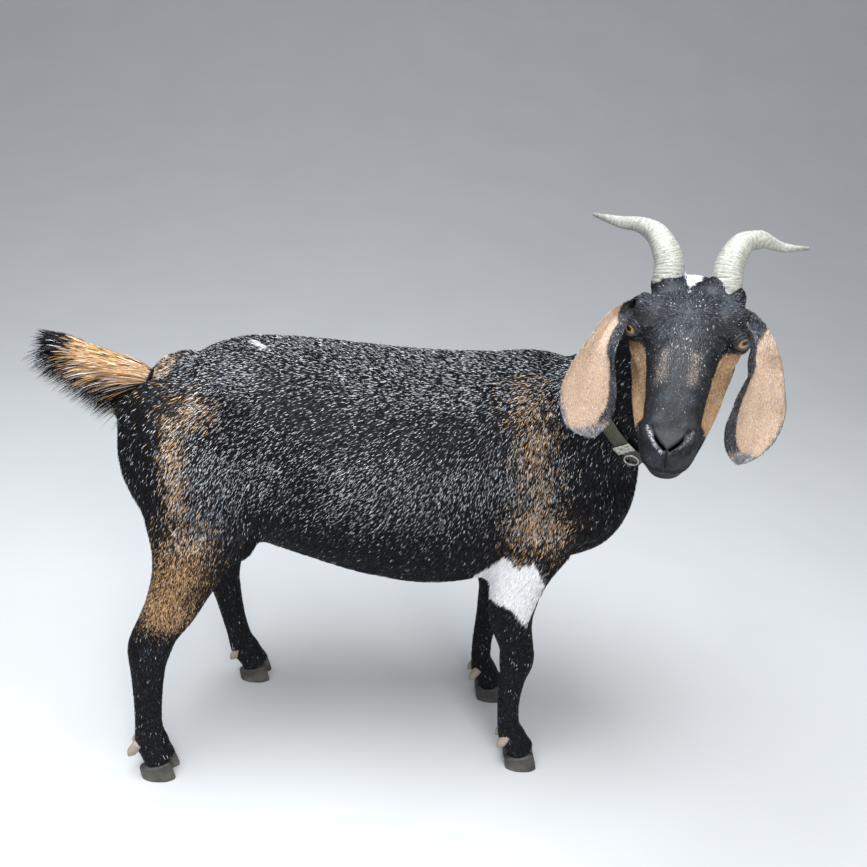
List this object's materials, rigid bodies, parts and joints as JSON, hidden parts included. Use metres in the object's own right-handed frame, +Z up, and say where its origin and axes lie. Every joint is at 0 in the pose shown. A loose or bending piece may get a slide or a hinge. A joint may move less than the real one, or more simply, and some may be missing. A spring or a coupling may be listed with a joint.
{
  "type": "nubian goat",
  "caption": "Life-size standing dairy goat with long hanging ears, back-curved horns, a raised tail and a collar, its head turned to its right.",
  "frame": {"origin": "on the floor, under the middle of the goat's bounding box", "axes": "+X from the tail to the chest, +Y to the goat's left, +Z up; the head is turned to the goat's right"},
  "size_m": [1.0432, 0.5637, 0.9935],
  "materials": {
    "coat_black": "short glossy hair",
    "coat_tan": "short soft hair",
    "horn": "ringed, matt",
    "hoof": "matt, dusty",
    "dewclaw": "matt",
    "eye": "wet gloss",
    "webbing": "woven",
    "keeper": "matt",
    "ring_metal": "worn"
  },
  "bodies": {
    "root": {"torso": "coat_black", "neck": "coat_black", "head": "coat_black", "tail": "coat_black", "leg_fore_right": "coat_black", "leg_fore_left": "coat_black", "leg_hind_right": "coat_black", "leg_hind_left": "coat_black", "ear_right": "coat_tan", "ear_left": "coat_tan", "eye_right": "eye", "eye_left": "eye", "horn_right": "horn", "horn_left": "horn", "hoof_fore_right_right": "hoof", "hoof_fore_right_left": "hoof", "hoof_fore_left_right": "hoof", "hoof_fore_left_left": "hoof", "hoof_hind_right_right": "hoof", "hoof_hind_right_left": "hoof", "hoof_hind_left_right": "hoof", "hoof_hind_left_left": "hoof", "dewclaw_fore_right_right": "dewclaw", "dewclaw_fore_right_left": "dewclaw", "dewclaw_fore_left_right": "dewclaw", "dewclaw_fore_left_left": "dewclaw", "dewclaw_hind_right_right": "dewclaw", "dewclaw_hind_right_left": "dewclaw", "dewclaw_hind_left_right": "dewclaw", "dewclaw_hind_left_left": "dewclaw", "collar_band": "webbing", "collar_keeper": "keeper", "collar_ring": "ring_metal"}
  },
  "joints": []
}
